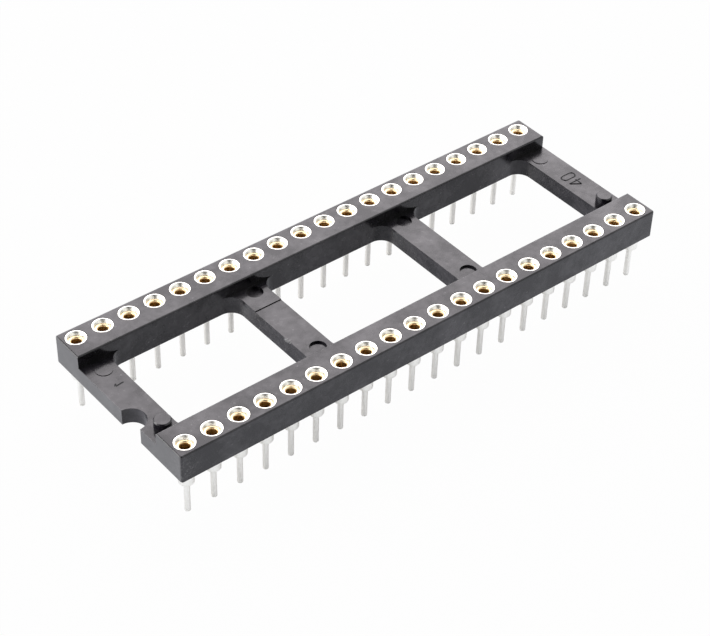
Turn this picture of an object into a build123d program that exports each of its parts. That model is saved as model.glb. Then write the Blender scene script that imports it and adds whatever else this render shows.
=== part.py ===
from build123d import *
import os

# A forty-way turned-pin socket for a wide dual-in-line integrated circuit. A black glass-filled
# moulding, the insulator, carries two rows of twenty turned sleeves. Each sleeve holds a spring clip that
# grips one lead of the integrated circuit, and ends in a thin tail that is soldered into the board.
# Nothing moves except the clip fingers, which bend a little as a lead goes in.

# Frame: millimetres, +Z up and away from the board. The origin is the centre of the tail pattern, on the
# board's top surface, where the sleeve shoulders rest. +X runs along the rows from contact 1 to contact
# 20. Contacts are numbered as on every dual-in-line package: 1 to 20 along the front row, then 21 to 40
# back along the rear row.

# Contact grid
contact_count = 40
pitch = 2.54
row_spacing = 15.24

# Heights above the board
stand_off = 1.4  # board to underside of the insulator
insulator_height = 2.8
bar_thickness = 1.6  # cross bars, flush with the insulator's underside

# Insulator outline
side_margin = 1.23  # a row's axis to the rail's outer face
end_margin = 1.22  # last contact's axis to the end face
rail_width = 3.37
bar_width = 2.7
left_bar_x = -8.6  # the two inner bars aren't placed evenly
right_bar_x = 7.68
window_corner_radius = 1.3
upright_corner_radius = 0.2
edge_radius = 0.15  # rails' top edges
edge_chamfer = 0.1  # underside and post tops

# Key notch, at the contact 1 end
notch_radius = 1.32
notch_y = -2.0

# Ejector marks: sunk in the inner bars, raised on the end bars, and two of those raised into posts
mark_radius = 0.74
mark_depth = 0.2
front_mark_y = -4.05  # the marks on the inner bars
rear_mark_y = 4.6
mark_offset = 0.13  # a bar's middle to its marks, along X
end_mark_y = 4.15  # marks and posts on the end bars
end_mark_inset = 1.55  # end face to the centre of a mark on an end bar
end_mark_height = 0.05
post_height = 0.85

# Land that a mould insert leaves on the left inner bar, beside the rear rail
land_y = 2.55  # where its step crosses the bar
land_height = 0.08

# Turned sleeve
head_diameter = 1.83
head_thickness = 0.4
barrel_diameter = 1.32
tail_diameter = 0.5
tail_length = 3.17
mouth_diameter = 1.44  # countersink at the head's top
mouth_depth = 0.42
bore_diameter = 1.02
bore_depth = 3.3  # from the head's top

# Spring clip
clip_length = 2.5
clip_rise = 0.1  # collar's top above the countersink's foot
collar_length = 0.75
funnel_depth = 0.12
throat_diameter = 0.78  # collar's inside, below its funnel
finger_count = 4
finger_thickness = 0.07
finger_root_width = 0.4
finger_tip_width = 0.28
finger_gap = 0.36  # between opposite tips, with no lead in the clip
root_inset = 0.045  # collar's outside to the outer face of a finger

# Fits, all radial
sleeve_fit = 0.02  # sleeve in the insulator
clip_fit = 0.01  # clip collar in the sleeve

# Worked out from the sizes above
contacts_per_row = contact_count // 2
row_length = (contacts_per_row - 1) * pitch
insulator_length = row_length + 2 * end_margin
insulator_width = row_spacing + 2 * side_margin
insulator_top = stand_off + insulator_height
bar_top = stand_off + bar_thickness
rail_gap = insulator_width - 2 * rail_width
end_bar_x = (insulator_length - bar_width) / 2
bar_centres = [-end_bar_x, left_bar_x, right_bar_x, end_bar_x]
inner_bars = bar_centres[1:-1]
end_mark_x = insulator_length / 2 - end_mark_inset
relief_depth = insulator_height - bar_thickness
land_length = rail_gap / 2 - land_y
land_width = bar_width + 2 * window_corner_radius
head_underside = insulator_top - head_thickness
mouth_foot = insulator_top - mouth_depth
clip_top = mouth_foot + clip_rise
collar_bottom = clip_top - collar_length
finger_tip = clip_top - clip_length
collar_radius = bore_diameter / 2 - clip_fit
throat_radius = throat_diameter / 2
clips_per_node = 4


def contact_place(number):
    """The X and Y of a contact's axis."""
    in_front = number <= contacts_per_row
    step = number - 1 if in_front else contact_count - number
    x = step * pitch - row_length / 2
    y = -row_spacing / 2 if in_front else row_spacing / 2
    return x, y


# Insulator: outline with three windows, then the relief that drops the bars below the rails
with BuildPart() as insulator:
    with BuildSketch(Plane.XY.offset(stand_off)):
        RectangleRounded(insulator_length, insulator_width, upright_corner_radius)
        for left, right in zip(bar_centres[:-1], bar_centres[1:]):
            window_length = right - left - bar_width
            with Locations(((left + right) / 2, 0)):
                RectangleRounded(window_length, rail_gap, window_corner_radius, mode=Mode.SUBTRACT)
    extrude(amount=insulator_height)

    with BuildSketch(Plane.XY.offset(bar_top)):
        Rectangle(insulator_length, rail_gap)
        with Locations((left_bar_x, land_y + land_length / 2)):
            Rectangle(land_width, land_length, mode=Mode.SUBTRACT)
    extrude(amount=relief_depth, mode=Mode.SUBTRACT)
    with BuildSketch(Plane.XY.offset(bar_top + land_height)):
        with Locations((left_bar_x, land_y + land_length / 2)):
            Rectangle(land_width, land_length)
    extrude(amount=relief_depth - land_height, mode=Mode.SUBTRACT)

    # Key notch, open to the end face
    with BuildSketch(Plane.XY.offset(stand_off)):
        with Locations((-insulator_length / 2, notch_y)):
            Circle(notch_radius)
    extrude(amount=bar_thickness, mode=Mode.SUBTRACT)

    rail_tops = insulator.faces().filter_by(Axis.Z).group_by(Axis.Z)[-1]
    fillet(rail_tops.edges(), edge_radius)
    underside = insulator.faces().filter_by(Axis.Z).sort_by(Axis.Z)[0]
    chamfer(underside.outer_wire().edges(), edge_chamfer)

    # Ejector posts on the end bars, beside the front rail
    with BuildSketch(Plane.XY.offset(bar_top)):
        with Locations((-end_mark_x, -end_mark_y), (end_mark_x, -end_mark_y)):
            Circle(mark_radius)
    extrude(amount=post_height)
    post_tops = insulator.faces().filter_by(Axis.Z).filter_by_position(
        Axis.Z, bar_top + post_height, bar_top + post_height
    )
    chamfer(post_tops.edges(), edge_chamfer)

    # Ejector marks, raised on the end bars and sunk in the inner ones
    with BuildSketch(Plane.XY.offset(bar_top)):
        with Locations((-end_mark_x, end_mark_y), (end_mark_x, end_mark_y)):
            Circle(mark_radius)
    extrude(amount=end_mark_height)
    with BuildSketch(Plane.XY.offset(bar_top - mark_depth)):
        with Locations(*[(x + mark_offset, y) for x in inner_bars for y in (front_mark_y, rear_mark_y)]):
            Circle(mark_radius)
    extrude(amount=mark_depth + land_height, mode=Mode.SUBTRACT)

    # One stepped hole for each sleeve
    with Locations(Plane.XY.offset(insulator_top)):
        with GridLocations(pitch, row_spacing, contacts_per_row, 2):
            CounterBoreHole(
                radius=barrel_diameter / 2 + sleeve_fit,
                counter_bore_radius=head_diameter / 2 + sleeve_fit,
                counter_bore_depth=head_thickness,
            )


# Sleeve: turned in one piece, with a countersunk mouth, a blind bore, a shoulder and a tail
with BuildPart() as sleeve:
    with BuildSketch(Plane.XZ):
        with BuildLine():
            Polyline(
                (0, -tail_length),
                (tail_diameter / 2, -tail_length),
                (tail_diameter / 2, 0),
                (barrel_diameter / 2, 0),
                (barrel_diameter / 2, head_underside),
                (head_diameter / 2, head_underside),
                (head_diameter / 2, insulator_top),
                (mouth_diameter / 2, insulator_top),
                (bore_diameter / 2, mouth_foot),
                (bore_diameter / 2, insulator_top - bore_depth),
                (0, insulator_top - bore_depth),
                close=True,
            )
        make_face()
    revolve(axis=Axis.Z)

# Spring clip: a funnelled collar, pressed into the sleeve's bore
with BuildPart() as clip:
    with BuildSketch(Plane.XZ):
        with BuildLine():
            Polyline(
                (collar_radius, clip_top),
                (collar_radius, collar_bottom),
                (throat_radius, collar_bottom),
                (throat_radius, clip_top - funnel_depth),
                close=True,
            )
        make_face()
    revolve(axis=Axis.Z)
    # Four leaves hang from it, narrow towards their tips and lean in until they nearly meet
    for finger in range(finger_count):
        turned = Plane.XY.rotated((0, 0, finger * 360 / finger_count))
        with BuildSketch(turned.offset(collar_bottom)):
            with Locations((collar_radius - root_inset - finger_thickness / 2, 0)):
                Rectangle(finger_thickness, finger_root_width)
        with BuildSketch(turned.offset(finger_tip)):
            with Locations(((finger_gap + finger_thickness) / 2, 0)):
                Rectangle(finger_thickness, finger_tip_width)
        loft(ruled=True)


os.makedirs("parts", exist_ok=True)
insulator.part.label = "insulator"
export_step(insulator.part, "parts/insulator.step")

for number in range(1, contact_count + 1):
    placed = Location(contact_place(number)) * sleeve.part
    placed.label = f"sleeve_{number:02d}"
    export_step(placed, f"parts/{placed.label}.step")

for first in range(1, contact_count + 1, clips_per_node):
    last = first + clips_per_node - 1
    with BuildPart() as clips:
        with Locations(*[contact_place(number) for number in range(first, last + 1)]):
            add(clip.part)
    clips.part.label = f"clips_{first:02d}_{last:02d}"
    export_step(clips.part, f"parts/{clips.part.label}.step")

print(f"insulator {insulator_length:.2f} x {insulator_width:.2f} x {insulator_height:.2f} mm")
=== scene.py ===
# %% [markdown]
# # A forty-way turned-pin socket, dressed on its packed frame
# The socket is a black moulded frame with two rows of turned metal sleeves. A gold spring clip sits in
# each sleeve, and a thin tail below it goes through the board. The CAD model already holds every piece
# at its real size, so this script adds only what the eye looks for: soft metal edges, a curled gold
# funnel, the grain of the moulding and the small marks that a mould leaves.

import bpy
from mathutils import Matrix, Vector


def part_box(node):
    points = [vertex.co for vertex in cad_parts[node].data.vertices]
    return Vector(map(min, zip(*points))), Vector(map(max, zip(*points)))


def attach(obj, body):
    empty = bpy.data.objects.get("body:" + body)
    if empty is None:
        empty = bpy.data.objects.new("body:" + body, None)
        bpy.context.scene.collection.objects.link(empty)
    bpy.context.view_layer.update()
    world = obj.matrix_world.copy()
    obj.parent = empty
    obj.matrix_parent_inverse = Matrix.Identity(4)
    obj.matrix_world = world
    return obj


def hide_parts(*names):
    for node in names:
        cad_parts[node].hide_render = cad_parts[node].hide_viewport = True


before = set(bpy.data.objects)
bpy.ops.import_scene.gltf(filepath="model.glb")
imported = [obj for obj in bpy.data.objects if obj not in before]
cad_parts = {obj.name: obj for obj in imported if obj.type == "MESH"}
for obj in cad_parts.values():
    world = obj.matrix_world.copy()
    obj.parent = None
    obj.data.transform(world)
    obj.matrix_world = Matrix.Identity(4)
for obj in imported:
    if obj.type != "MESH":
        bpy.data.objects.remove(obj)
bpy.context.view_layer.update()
print("CAD nodes:", len(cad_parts))

# %% [markdown]
# Blender counts in metres, and this part is a few centimetres long. Sizes are written in millimetres, as
# on a drawing, and scaled where they meet a mesh. The Standard view shows a colour as it is written,
# where a filmic one would turn the white floor grey.

# %% Modules and the unit
import math

import bmesh
import bpy
from mathutils import Matrix, Vector
from mathutils import noise as noise_field

MM = 0.001  # the frame is in metres, and the sizes below are in millimetres
scene = bpy.context.scene
scene.view_settings.view_transform = "Standard"
print("view transform:", scene.view_settings.view_transform)

# %% [markdown]
# Most pieces go the same way: points in a bmesh, then a mesh, then an object in the scene. Three helpers
# hold those steps, so that each later cell shows only what is special about its piece.


# %% Helpers for meshes and objects
def show(name, data):
    """Put a mesh, lamp or camera into the scene as an object."""
    shown = bpy.data.objects.new(name, data)
    scene.collection.objects.link(shown)
    return shown


def finished_mesh(name, shape):
    """A mesh of what a bmesh holds."""
    mesh = bpy.data.meshes.new(name)
    shape.to_mesh(mesh)
    shape.free()
    return mesh


def ring_of_points(shape, radius, height, count):
    """Points on a circle round the Z axis, added to a bmesh."""
    ring = []
    for step in range(count):
        angle = 2 * math.pi * step / count
        x, y = radius * math.cos(angle), radius * math.sin(angle)
        ring.append(shape.verts.new((x * MM, y * MM, height * MM)))
    return ring


print("helpers:", show.__name__, finished_mesh.__name__, ring_of_points.__name__)

# %% [markdown]
# ## Where things are
# The frame already says where each contact stands. Reading the axes and heights from the CAD boxes keeps
# every piece seated even if the part changes its size, where typed-in places would drift.

# %% Read the contact axes and heights from the frame
contact_count = 40
clips_per_node = 4


def contact_axis(number):
    """The foot of a contact's axis, on the board."""
    low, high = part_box(f"sleeve_{number:02d}")
    middle = (low + high) / 2
    return Vector((middle.x, middle.y, 0))


def clip_node(number):
    """The CAD node that holds a contact's clip."""
    first = (number - 1) // clips_per_node * clips_per_node + 1
    return f"clips_{first:02d}_{first + clips_per_node - 1:02d}"


sleeve_low, sleeve_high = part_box("sleeve_01")
insulator_low, insulator_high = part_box("insulator")
tail_tip = sleeve_low.z / MM
head_top = sleeve_high.z / MM
head_radius = (sleeve_high.x - sleeve_low.x) / 2 / MM
clip_bottom, clip_top = (corner.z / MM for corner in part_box("clips_01_04"))
board = 0.0
print(f"tail tip {tail_tip:.2f}, head top {head_top:.2f}, head radius {head_radius:.3f} mm")

# %% [markdown]
# ## The camera
# The photo looks down on the notched corner through a long lens. Fitting a camera to the forty ring
# centres gave its place, so it is written here as a place, a direction and a small roll. A guessed camera
# could be nudged by eye, but forty known points leave nothing to guess.

# %% Place the camera
camera_place = Vector((-81.72, -96.63, 106.80)) * MM
camera_direction = Vector((0.48686, 0.58480, -0.64882))
camera_roll = math.radians(-1.56)
photo_width = 710
focal_length = 1930.77  # in pixels of the photo

camera_data = bpy.data.cameras.new("camera")
camera_data.sensor_width = 36
camera_data.lens = focal_length / photo_width * camera_data.sensor_width
camera_data.clip_start = 0.001
camera = show("camera", camera_data)
camera.rotation_mode = "QUATERNION"
upright = camera_direction.to_track_quat("-Z", "Y")
roll = Matrix.Rotation(camera_roll, 4, camera_direction).to_quaternion()
camera.rotation_quaternion = roll @ upright
camera.location = camera_place
scene.camera = camera
bpy.context.view_layer.update()
image_right = camera.matrix_world.to_3x3() @ Vector((1, 0, 0))
print(f"lens {camera_data.lens:.1f} mm, image right {[round(part, 4) for part in image_right]}")

# %% [markdown]
# ## Shader sums in Python
# A finish is a sum of noises and masks. Wiring each Math node by hand hides that sum, so one small class
# wraps a socket and lets plain Python operators add the nodes.


# %% Wrap a socket
class Wire:
    """A socket in a node tree, used in sums like a number."""

    def __init__(self, tree, socket=None):
        self.tree = tree
        self.socket = socket

    def node(self, kind, settings, inputs, output=0):
        """Add a node of any kind: its settings first, then the values or wires of its sockets."""
        made = self.tree.nodes.new(kind)
        for name, value in settings.items():
            setattr(made, name, value)
        for name, value in inputs.items():
            if isinstance(value, Wire):
                self.tree.links.new(value.socket, made.inputs[name])
            else:
                made.inputs[name].default_value = value
        return Wire(self.tree, made.outputs[output])

    def maths(self, operation, *values):
        """A Math node of this wire and the values after it."""
        inputs = dict(enumerate((self, *values)))
        return self.node("ShaderNodeMath", {"operation": operation}, inputs)

    def vector(self, operation, *values, output=0):
        """A Vector Math node of this wire and the values after it."""
        inputs = dict(enumerate((self, *values)))
        return self.node("ShaderNodeVectorMath", {"operation": operation}, inputs, output)

    def __add__(self, other):
        return self.maths("ADD", other)

    def __radd__(self, other):
        return self + other

    def __sub__(self, other):
        return self.maths("SUBTRACT", other)

    def __rsub__(self, other):
        return self.maths("MULTIPLY_ADD", -1.0, other)

    def __mul__(self, other):
        return self.maths("MULTIPLY", other)

    def __rmul__(self, other):
        return self * other

    def least(self, other):
        """The smaller of the two."""
        return self.maths("MINIMUM", other)

    def most(self, other):
        """The larger of the two."""
        return self.maths("MAXIMUM", other)

    def size(self):
        """The value without its sign."""
        return self.maths("ABSOLUTE")

    def fade(self, start, end):
        """0 at start, 1 at end, with a soft step between them; end may be the smaller."""
        settings = {"interpolation_type": "SMOOTHSTEP"}
        inputs = {"Value": self, "From Min": min(start, end), "From Max": max(start, end)}
        step = self.node("ShaderNodeMapRange", settings, inputs)
        return step if end > start else 1 - step

    def noise(self, scale, detail=2.0, roughness=0.5):
        """Noise around 0.5 that reads this wire as its place."""
        inputs = {"Vector": self, "Scale": scale, "Detail": detail, "Roughness": roughness}
        return self.node("ShaderNodeTexNoise", {}, inputs)

    def mix(self, first, second):
        """A colour from first to second, with this wire as the factor."""
        inputs = {0: self, 6: first, 7: second}
        return self.node("ShaderNodeMix", {"data_type": "RGBA"}, inputs, output=2)


def ray_kind(start, kind):
    """1 for the rays of one kind, such as Is Camera Ray, and 0 for all others."""
    return start.node("ShaderNodeLightPath", {}, {}, kind)


def grey(value, blue=0.0):
    """A grey with a touch of blue, as a colour socket's four numbers."""
    return (value * (1 - blue), value * (1 - blue / 2), value * (1 + blue), 1.0)


print("operators wrapped:", [name for name in vars(Wire) if name.endswith(("add__", "sub__", "mul__"))])

# %% [markdown]
# Every finish starts the same way: an empty tree, a Principled shader, and a place in millimetres to
# paint by. Object coordinates are used, because they stay on the part from any side and need no
# unwrapping.


# %% Start a finish
def new_finish(name):
    """A material with a Principled shader, and its object coordinates in millimetres."""
    material = bpy.data.materials.new(name)
    material.use_nodes = True
    tree = material.node_tree
    tree.nodes.clear()
    shader = tree.nodes.new("ShaderNodeBsdfPrincipled")
    output = tree.nodes.new("ShaderNodeOutputMaterial")
    tree.links.new(shader.outputs[0], output.inputs["Surface"])
    start = Wire(tree)
    metres = start.node("ShaderNodeTexCoord", {}, {}, "Object")
    place = start.node("ShaderNodeVectorMath", {"operation": "SCALE"}, {0: metres, "Scale": 1 / MM})
    return material, shader, place


def feed(shader, name, wire):
    """Lead a wire into one of the shader's own sockets."""
    wire.tree.links.new(wire.socket, shader.inputs[name])


def bump(shader, height, depth):
    """Raise the surface by height, whose full range is depth millimetres."""
    settings = {"Height": height, "Distance": depth * MM, "Strength": 1.0}
    feed(shader, "Normal", height.node("ShaderNodeBump", {}, settings))


print("a finish starts with", len(new_finish("sample")[0].node_tree.nodes), "nodes")
bpy.data.materials.remove(bpy.data.materials["sample"])

# %% [markdown]
# ## The moulding
# Glass-filled plastic comes out of the mould nearly black, and most of what the eye sees on it is sheen.
# It has a fine grain, cloudy patches where the melt cooled unevenly, and a few pale specks where fibres
# reach the surface. Three noises of different scale give those. They drive colour, roughness, sheen and
# bump together, so that a rough patch also looks paler. The trimmed ends are rougher, and paler than the
# moulded faces partly for the trimming and partly as painted light from the left softbox. One corner is
# scuffed. The CAD mesh keeps its shape and only changes its finish.

# %% The black moulding's finish
# the trimmed ends are painted paler, partly for the trimming and partly as painted light from the left
# softbox
end_face = insulator_high.x / MM  # trimmed after moulding, so a little rougher and paler
trim_depth = 0.1
scuff_height = 2.7
scuffed_corner = Vector((-end_face, insulator_low.y / MM, scuff_height))
scuff_reach, scuff_core = 1.9, 0.5  # distances from that corner: no scuffs, and all of them
cloud_scale, mottle_scale, grain_scale = 0.3, 1.6, 8.0  # features per millimetre
fibre_scale, scuff_scale = 1.7, 4.5
fibre_edge, fibre_core = 0.22, 0.1  # distance to a fibre's end, in cells of that scale
darkest_plastic = (0.009, 0.008, 0.013, 1.0)
lightest_plastic = (0.028, 0.025, 0.032, 1.0)
# the first grey paints wear, fibres and scuffs, and also painted light on the trimmed ends
worn_and_lit_grey, torn_grey = 0.16, 0.3  # the second is added where the plastic is torn
plastic_roughness, plastic_sheen = 0.2, 0.15  # before the noises add to them or take away
sheen_roughness = 0.3
plastic_ior = 1.5
grain_depth = 0.005


def moulded_black(name, torn=0.0):
    """Black plastic; torn, from 0 to 1, is how far stress has turned it pale."""
    material, shader, place = new_finish(name)
    clouds = place.noise(cloud_scale, 3.0) - 0.5
    mottle = place.noise(mottle_scale, 3.0) - 0.5
    grain = place.noise(grain_scale, 2.0, 0.6) - 0.5
    to_fibre = place.node("ShaderNodeTexVoronoi", {}, {"Vector": place, "Scale": fibre_scale})
    fibres = to_fibre.fade(fibre_edge, fibre_core) * mottle.fade(0.02, 0.1)

    # in the sums below, each factor says how much of a noise or mask shows
    shade = (0.5 + clouds * 2.4 + mottle * 2.8 + grain * 0.5).most(0.0).least(1.0)
    colour = shade.mix(darkest_plastic, lightest_plastic)
    along = place.node("ShaderNodeSeparateXYZ", {}, {0: place}, "X").size()
    trimmed_and_lit = along.fade(end_face - trim_depth, end_face)
    scuffs = place.noise(scuff_scale, 3.0, 0.6).fade(0.5, 0.62)
    to_corner = place.vector("DISTANCE", scuffed_corner, output=1)
    scuffs = scuffs * to_corner.fade(scuff_reach, scuff_core)
    # painted light: the trimmed ends' pale share stands partly for light from the left softbox; fibres,
    # scuffs and tearing are the plastic's own
    pale_and_lit = (trimmed_and_lit * 0.8 + fibres * 0.5 + scuffs * 0.8 + torn).least(1.0)
    colour = pale_and_lit.mix(colour, grey(worn_and_lit_grey + torn * torn_grey, 0.02))
    roughness = plastic_roughness + clouds * 0.4 + mottle * 0.15 + grain * 0.1 + trimmed_and_lit * 0.2
    sheen = (plastic_sheen + clouds * 1.3 + mottle * 0.6).most(0.0).least(1.0)
    feed(shader, "Base Color", colour)
    feed(shader, "Roughness", roughness)
    feed(shader, "Coat Weight", sheen)
    shader.inputs["Coat Roughness"].default_value = sheen_roughness
    shader.inputs["IOR"].default_value = plastic_ior
    bump(shader, grain * 0.3 + mottle, grain_depth)
    return material


plastic = moulded_black("moulded_black")
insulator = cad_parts["insulator"]
insulator.data.materials.clear()
insulator.data.materials.append(plastic)
face_count = len(insulator.data.polygons)
print("moulding finish:", len(plastic.node_tree.nodes), "nodes on", face_count, "faces")

# %% [markdown]
# ### The two raised numbers
# The first and last contact numbers, 1 and 40, stand on the end bars. The mould's maker cuts them with
# a pointed cutter, so on the plastic they are ridges with a sharp crest. A text object would give the
# flat tops of a printed typeface, and a bump would vanish from the side. A ridge swept along a few points
# has slopes that turn away from the lamp, which draws the thin dark lines of the photo.

# %% Sweep a ridge
bar_top = 3.0  # upper face of the end bars, above the board
ridge_half_width = 0.105
ridge_height = 0.07
ridge_root = 0.03  # the ridge starts below the bar's top, so that no gap opens under it


def ridge(shape, points, closed=False):
    """Add a ridge with a sharp crest through (x, y) points on a bar to a bmesh."""
    path = [Vector(point) for point in points]
    last = len(path) - 1
    sections = []
    for index, here in enumerate(path):
        back = here - path[index - 1] if closed or index else path[1] - here
        on = path[(index + 1) % len(path)] - here if closed or index < last else back
        way = (back.normalized() + on.normalized()).normalized()
        side = Vector((-way.y, way.x)) * ridge_half_width / way.dot(on.normalized())
        # the crest of an open stroke starts and stops inside it, so that its ends slope too
        hip = 0 if closed else ridge_half_width * ((index == 0) - (index == last))
        left, crest, right = here + side, here + way * hip, here - side
        section = [(*left, -ridge_root), (*crest, ridge_height), (*right, -ridge_root)]
        sections.append([shape.verts.new(Vector((x, y, bar_top + z)) * MM) for x, y, z in section])
    followers = sections[1:] + sections[:1] if closed else sections[1:]
    for near, far in zip(sections, followers):
        for corner in range(len(near)):
            shape.faces.new((near[corner], near[corner - 1], far[corner - 1], far[corner]))
    if not closed:
        shape.faces.new(sections[0])
        shape.faces.new(sections[-1][::-1])


def ridge_piece(name, strokes, loops=()):
    """One piece made of ridges, in the moulding's own plastic."""
    shape = bmesh.new()
    for stroke in strokes:
        ridge(shape, stroke)
    for loop in loops:
        ridge(shape, loop, closed=True)
    bmesh.ops.recalc_face_normals(shape, faces=shape.faces)
    mesh = finished_mesh(name, shape)
    mesh.materials.append(plastic)
    piece = show(name, mesh)
    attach(piece, "root")
    return piece


# %% Write 1 and 40, from points (x, y) on the end bars
one_foot, one_head, one_flag = (-23.3, 2.03), (-24.2, 1.93), (-23.95, 2.22)
digit_one = ridge_piece("digit_1", [(one_foot, one_head), (one_head, one_flag)])

four_foot, four_head = (24.75, -0.28), (23.3, -0.28)
four_left, four_right = (24.25, -0.95), (24.25, -0.05)
nought_x, nought_y = 24.0, 0.6
nought_reach = 0.4  # centre to where the straight sides end
nought_radius = 0.34
nought_steps = 6  # straight strokes in each of its two round ends
far_middle = nought_x + nought_reach
far_end = []
for step in range(nought_steps + 1):
    angle = math.pi * (step / nought_steps - 0.5)
    across = nought_radius * math.sin(angle)
    far_end.append((far_middle + nought_radius * math.cos(angle), nought_y + across))
near_end = [(2 * nought_x - x, 2 * nought_y - y) for x, y in far_end]
four = [(four_foot, four_head), (four_head, four_left), (four_left, four_right)]
digits_forty = ridge_piece("digits_40", four, [far_end + near_end])
print("ridge faces:", len(digit_one.data.polygons), "and", len(digits_forty.data.polygons))

# %% [markdown]
# ### Where the plastic came in
# Melt enters the mould through a small gate, and breaking the gate off leaves a torn nub on the left
# inner bar's edge. A sphere drawn out along the edge and pushed about by noise looks torn, and the noise
# is a fixed field, so the nub is the same in every run.

# %% Leave a torn nub
nub_place = Vector((-9.95, -1.95, 2.96))
nub_size = Vector((0.14, 0.36, 0.12))
nub_subdivisions = 4
lump_scale, crumb_scale = 2.6, 6.0  # noise features across the unit sphere
crumb_share = 0.5
tear_depth = 0.6  # share of the radius that the noise can add or take away

nub = bmesh.new()
bmesh.ops.create_icosphere(nub, subdivisions=nub_subdivisions, radius=1.0)
for vert in nub.verts:
    lumps = noise_field.noise(vert.co * lump_scale)
    tear = lumps + crumb_share * noise_field.noise(vert.co * crumb_scale)
    vert.co = (nub_place + (vert.co * (1 + tear_depth * tear)) * nub_size) * MM
nub_mesh = finished_mesh("gate_nub", nub)
nub_mesh.materials.append(moulded_black("torn_plastic", torn=0.8))
gate_nub = show("gate_nub", nub_mesh)
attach(gate_nub, "root")
print("nub faces:", len(nub_mesh.polygons))

# %% [markdown]
# ## Turned sleeves
# A lathe makes each sleeve from rod, so one profile spun round its axis gives the whole piece. The CAD
# solid has sharp corners. Here every corner gets the small radius that a turning tool and the tin plating
# leave, and the mouth's edge a larger one, because those radii are what catches the light. In the photo
# a dark spot sits on each mouth's far edge, and only a round edge mirrors that much of the room. Forty
# objects share one mesh.


# %% Round the corners of a profile
def rounded(points, steps=3):
    """Points (radius, height, corner) as (radius, height), with an arc of that radius at each corner."""
    out = []
    for index, (r, z, corner) in enumerate(points):
        here = Vector((r, z))
        if not corner or index in (0, len(points) - 1):
            out.append(here)
            continue
        back = (Vector(points[index - 1][:2]) - here).normalized()
        on = (Vector(points[index + 1][:2]) - here).normalized()
        half_angle = back.angle(on) / 2
        reach = corner / math.tan(half_angle)
        middle = here + (back + on).normalized() * corner / math.sin(half_angle)
        first, last = here + back * reach - middle, here + on * reach - middle
        for step in range(steps + 1):
            out.append(middle + first.lerp(last, step / steps).normalized() * corner)
    return [(point.x, point.y) for point in out]


def lathe(name, profile, segments):
    """A mesh spun from (radius, height) points in millimetres; a point at radius 0 closes it."""
    shape = bmesh.new()
    rings = []
    for r, z in profile:
        if r == 0:
            rings.append([shape.verts.new((0, 0, z * MM))])
        else:
            rings.append(ring_of_points(shape, r, z, segments))
    for lower, upper in zip(rings[:-1], rings[1:]):
        for step in range(segments):
            after = (step + 1) % segments
            corners = [lower[step % len(lower)], lower[after % len(lower)]]
            corners += [upper[after % len(upper)], upper[step % len(upper)]]
            shape.faces.new(list(dict.fromkeys(corners))).smooth = True
    return finished_mesh(name, shape)


print("a right angle becomes", len(rounded([(0, 0, 0), (1, 0, 0.1), (1, 1, 0)])), "points")

# %% The sleeve's profile, from the tail's tip up and down into the bore
tail_radius = 0.25
barrel_radius = 0.66
head_thickness = 0.4
head_underside = head_top - head_thickness
mouth_radius = 0.76
seat_radius = 0.6
seat_depth = 0.32
bore_radius = 0.51
bore_mouth_depth = 0.42
bore_depth = 3.3
bore_floor = head_top - bore_depth
sleeve_segments = 64

sleeve_profile = rounded(
    [  # radius, height and the corner's own radius
        (0, tail_tip, 0),
        (tail_radius, tail_tip, 0.12),
        (tail_radius, board, 0.05),
        (barrel_radius, board, 0.13),
        (barrel_radius, head_underside, 0.03),
        (head_radius, head_underside, 0.04),
        (head_radius, head_top, 0.05),
        (mouth_radius, head_top, 0.15),
        (seat_radius, head_top - seat_depth, 0.03),
        (bore_radius, head_top - bore_mouth_depth, 0.03),
        (bore_radius, bore_floor, 0.1),
        (0, bore_floor, 0),
    ],
    steps=6,
)
sleeve_mesh = lathe("turned_sleeve", sleeve_profile, sleeve_segments)
print("sleeve profile points:", len(sleeve_profile))

# %% [markdown]
# Tin over turned brass is bright but never a mirror. The tool leaves rings round the axis, and the tin
# clouds a little. A wave that runs up the axis and out from it makes the rings, and it bends with the
# surface, so the same finish suits barrel, face and cone.

# %% The tin finish
turning_pitch = 0.07  # one turn of the lathe to the next
rings_outward = 1.3  # rings across a flat face for one along the axis
tin_cloud_scale, tin_fine_scale = 2.5, 14.0  # features per millimetre
dull_tin = (0.96, 0.95, 0.88, 1.0)
bright_tin = (1.0, 0.99, 0.93, 1.0)
tin_roughness = 0.33
ring_depth = 0.0001


def tin_plate():
    """Tin with the rings of the lathe under it."""
    material, shader, place = new_finish("tin_plate")
    up = place.node("ShaderNodeSeparateXYZ", {}, {0: place}, "Z")
    outward = place.vector("MULTIPLY", Vector((1, 1, 0))).vector("LENGTH", output=1)
    rings = ((outward * rings_outward + up) * (2 * math.pi / turning_pitch)).maths("SINE")
    clouds = place.noise(tin_cloud_scale, 3.0) - 0.5
    fine = place.noise(tin_fine_scale, 2.0) - 0.5
    feed(shader, "Base Color", (clouds + 0.5).fade(0.35, 0.65).mix(dull_tin, bright_tin))
    feed(shader, "Roughness", tin_roughness + clouds * 0.12 + fine * 0.05)
    shader.inputs["Metallic"].default_value = 1.0
    bump(shader, rings + fine * 0.3, ring_depth)
    return material


tin = tin_plate()
sleeve_mesh.materials.append(tin)
print("tin finish:", len(tin.node_tree.nodes), "nodes")

# %% [markdown]
# Forty equal sleeves are forty objects that share one mesh. An array modifier would also repeat it, but
# would make one piece of them all, which couldn't take the place of forty CAD nodes one by one.

# %% Stand a sleeve on every contact axis
for number in range(1, contact_count + 1):
    sleeve = show(f"turned_sleeve_{number:02d}", sleeve_mesh)
    sleeve.location = contact_axis(number)
    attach(sleeve, "root")
    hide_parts(f"sleeve_{number:02d}")
print("sleeves:", contact_count)

# %% [markdown]
# ## Spring clips
# A clip is stamped flat, rolled into a tube and pressed into the sleeve. Its top curls out over the
# countersink, which is the gold that the photo shows, and its four fingers lean in below. The same steps
# work here: one sheet of faces is laid out by angle and height, the slots are left out, and a Solidify
# modifier gives the sheet its thickness.

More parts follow.
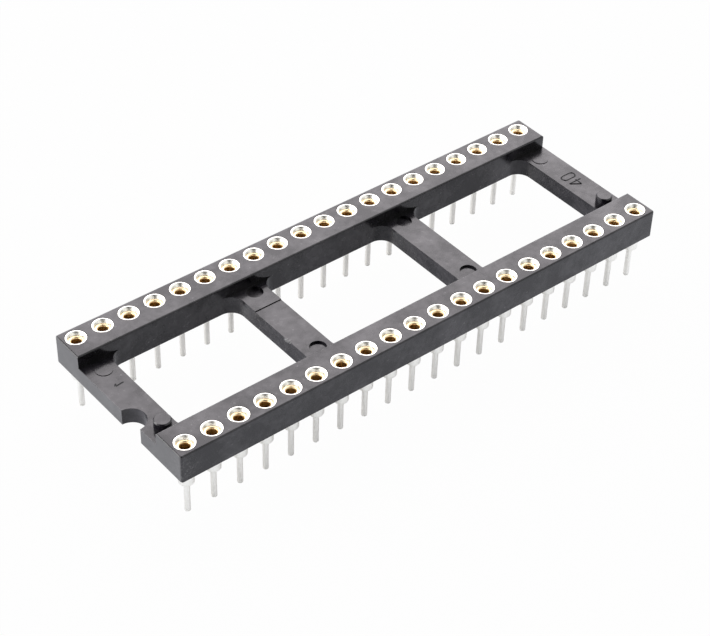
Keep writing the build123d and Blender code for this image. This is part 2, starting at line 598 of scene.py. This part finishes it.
# %% Roll a clip from its sheet
sheet_thickness = 0.05
finger_count = 4
columns_per_finger = 8
lip_radius = 0.61
lip_depth = 0.3  # head's top to the lip
lip_top = head_top - lip_depth
throat_radius = 0.4
throat_depth = 0.43
throat_top = head_top - throat_depth
collar_length = 0.75
collar_end = clip_top - collar_length
finger_tip_radius = 0.19
tip_length, tip_flare = 0.2, 0.03  # the tips turn out again, so that a lead can't catch on them

clip_profile = rounded(
    [  # radius, height and the corner's own radius
        (lip_radius, lip_top, 0),
        (throat_radius, throat_top, 0.15),
        (throat_radius, collar_end, 0.2),
        (finger_tip_radius, clip_bottom + tip_length, 0.3),
        (finger_tip_radius + tip_flare, clip_bottom, 0),
    ],
    steps=5,
)


def rolled_clip():
    """A tube of faces, slotted below the collar."""
    shape = bmesh.new()
    columns = finger_count * columns_per_finger
    grid = [ring_of_points(shape, r, z, columns) for r, z in clip_profile]
    for row, (upper, lower) in enumerate(zip(grid[:-1], grid[1:])):
        below_collar = clip_profile[row][1] < collar_end
        for step in range(columns):
            if below_collar and step % columns_per_finger == 0:
                continue
            after = (step + 1) % columns
            shape.faces.new((upper[step], lower[step], lower[after], upper[after])).smooth = True
    loose = [vert for vert in shape.verts if not vert.link_faces]
    bmesh.ops.delete(shape, geom=loose, context="VERTS")
    return finished_mesh("spring_clip", shape)


clip_mesh = rolled_clip()
print("clip faces:", len(clip_mesh.polygons))

# %% [markdown]
# Gold on a spring alloy is warm and smooth. It looks darker deep in the bore, where only its own
# reflections reach it, so the colour stays the same from top to bottom and the light does the rest.


# %% The gold finish
gold_cloud_scale, gold_fine_scale = 3.0, 18.0  # features per millimetre
deep_gold = (0.94, 0.71, 0.41, 1.0)
pale_gold = (0.96, 0.78, 0.5, 1.0)
gold_roughness = 0.32
gold_grain_depth = 0.002


def gold_plate():
    """Gold on spring alloy, a little uneven in tone."""
    material, shader, place = new_finish("gold_plate")
    clouds = place.noise(gold_cloud_scale, 2.0)
    fine = place.noise(gold_fine_scale, 2.0)
    feed(shader, "Base Color", clouds.fade(0.35, 0.65).mix(deep_gold, pale_gold))
    feed(shader, "Roughness", gold_roughness + (fine - 0.5) * 0.2)
    shader.inputs["Metallic"].default_value = 1.0
    bump(shader, fine, gold_grain_depth)
    return material


gold = gold_plate()
clip_mesh.materials.append(gold)
print("gold finish:", len(gold.node_tree.nodes), "nodes")

# %% [markdown]
# The CAD model keeps four clips in each node, so four objects here stand for one node. The sheet grows
# outwards, towards the bore, so that the space inside the clip stays as wide as its profile says.

# %% Press a clip into every sleeve
for number in range(1, contact_count + 1):
    clip = show(f"spring_clip_{number:02d}", clip_mesh)
    clip.location = contact_axis(number)
    thickness = clip.modifiers.new("sheet", "SOLIDIFY")
    thickness.thickness = sheet_thickness * MM
    thickness.offset = 1
    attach(clip, "root")
    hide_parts(clip_node(number))
print("clips:", contact_count)

# %% [markdown]
# ## Floor and light
# Nearly all that shows on black plastic and bright metal is what they mirror, so the studio is built
# from the reflections in the photo. The tops mirror a large softbox behind the part, on the right. The
# walls mirror the white floor. A dark streak down each ring's far wall is the unlit side where the camera
# stands. A few soft lamps at odd places would light the shapes as well, but the sheen would fall
# elsewhere.

# %% Lay the floor
floor_size = 3.0
white_seen = 0.98  # share of plain white that the camera sees in the floor
# painted shade: the floor's mirrored white fades under and near the part
painted_shade_reach = 0.02  # how far the floor looks up for the part, where its mirrored white fades
shut_in, wide_open = 0.28, 0.8  # share of open air where that white is gone, and where it is full
plain_paper = grey(0.8)
cool_white = (0.93, 0.94, 1.0, 1.0)

floor_material = bpy.data.materials.new("floor_paper")
floor_material.use_nodes = True
floor_tree = floor_material.node_tree
floor_tree.nodes.clear()
paper = Wire(floor_tree)
to_camera = ray_kind(paper, "Is Camera Ray")
in_gloss = ray_kind(paper, "Is Glossy Ray")
in_glass = ray_kind(paper, "Is Transmission Ray")
# painted shadow seen in reflections: ambient occlusion dims the floor's mirrored white glow where the
# part shuts out the air
open_air_for_painted_shade = paper.node("ShaderNodeAmbientOcclusion", {"samples": 4}, {"Distance": painted_shade_reach}, "AO")
mirrored_white_painted_shade = in_gloss.most(in_glass) * open_air_for_painted_shade.fade(shut_in, wide_open)
white_share = (to_camera * white_seen).most(mirrored_white_painted_shade)
matte = paper.node("ShaderNodeBsdfDiffuse", {}, {"Color": plain_paper})
paper_white = in_gloss.mix(grey(1.0), cool_white)
glow = paper.node("ShaderNodeEmission", {}, {"Color": paper_white, "Strength": 1.0})
both = paper.node("ShaderNodeMixShader", {}, {0: white_share, 1: matte, 2: glow})
floor_output = floor_tree.nodes.new("ShaderNodeOutputMaterial")
floor_tree.links.new(both.socket, floor_output.inputs["Surface"])

floor_mesh = bpy.data.meshes.new("floor")
signs = [(-1, -1), (1, -1), (1, 1), (-1, 1)]
floor_corners = [(x * floor_size / 2, y * floor_size / 2, 0) for x, y in signs]
floor_mesh.from_pydata(floor_corners, [], [(0, 1, 2, 3)])
floor_mesh.materials.append(floor_material)
floor = show("floor", floor_mesh)
floor.location.z = tail_tip * MM
print("floor at z", round(floor.location.z / MM, 2), "mm")

# %% [markdown]
# The world stands for the white tent round the studio. Light that only fills the shadows comes from it
# evenly. Mirrored, it is white all round, apart from the slit that runs up to its top for the lens, and
# the dark opening where the camera looks in.

# %% Put up the tent
ambient = 0.02
dark_side = 0.03
slit_edge, slit_core = 0.36, 0.2  # sines of the angles to either side of the camera
slit_foot, slit_full = -0.1, 0.1  # cosines of the angle to the camera's side
opening_edge, opening_core = 0.8, 0.92  # cosines of the angle to the camera

world = bpy.data.worlds.new("studio")
scene.world = world
world.use_nodes = True
world.node_tree.nodes.clear()
air = Wire(world.node_tree)
way = air.node("ShaderNodeTexCoord", {}, {}, "Generated")
lens_side = Vector((-camera_direction.x, -camera_direction.y, 0)).normalized()
ahead = way.vector("DOT_PRODUCT", lens_side, output=1)
aside = way.vector("DOT_PRODUCT", lens_side.cross(Vector((0, 0, 1))), output=1).size()
slit = aside.fade(slit_edge, slit_core) * ahead.fade(slit_foot, slit_full)
to_lens = way.vector("DOT_PRODUCT", -camera_direction, output=1)
opening = to_lens.fade(opening_edge, opening_core)
mirrored = 1 - slit.most(opening) * (1 - dark_side)
shown_to_camera = ray_kind(air, "Is Camera Ray")
shown_in_gloss = ray_kind(air, "Is Glossy Ray")
shown_in_glass = ray_kind(air, "Is Transmission Ray")
lit_part = ambient + shown_in_gloss.most(shown_in_glass) * (mirrored - ambient)
strength = lit_part.most(shown_to_camera)
sky = air.node("ShaderNodeBackground", {}, {"Color": grey(1.0), "Strength": strength})
world_output = world.node_tree.nodes.new("ShaderNodeOutputWorld")
world.node_tree.links.new(sky.socket, world_output.inputs["Surface"])
print("tent:", len(world.node_tree.nodes), "nodes")

# %% [markdown]
# Two softboxes do the lighting. The large one hangs where the tops mirror it to the camera, so that black
# plastic looks grey there. The other lights the trimmed end from the left. Sun lamps would cast the same
# shadows, but they have no size, so nothing would mirror them as a broad sheen.


# %% Hang the softboxes
def softbox(name, direction, distance, size, level, tint):
    """A square lamp aimed at the part. A level of 1 lights a facing surface as a colour is written."""
    lamp = bpy.data.lights.new(name, "AREA")
    lamp.shape = "SQUARE"
    lamp.size = size
    lamp.energy = level * math.pi**2 * distance**2
    lamp.color = tint
    hung = show(name, lamp)
    away = direction.normalized()
    hung.location = away * distance
    hung.rotation_mode = "QUATERNION"
    hung.rotation_quaternion = (-away).to_track_quat("-Z", "Y")


mirror_of_camera = Vector((camera_direction.x, camera_direction.y, -camera_direction.z))
from_left = Vector((-0.88, 0.45, 0.16))
softbox("back_softbox", mirror_of_camera, distance=0.42, size=0.5, level=1.03, tint=(1.0, 0.94, 0.98))
softbox("left_softbox", from_left, distance=0.4, size=0.36, level=1.15, tint=(1.0, 0.985, 0.98))
for lamp in bpy.data.lights:
    print(lamp.name, round(lamp.energy, 3), "W")

# %% [markdown]
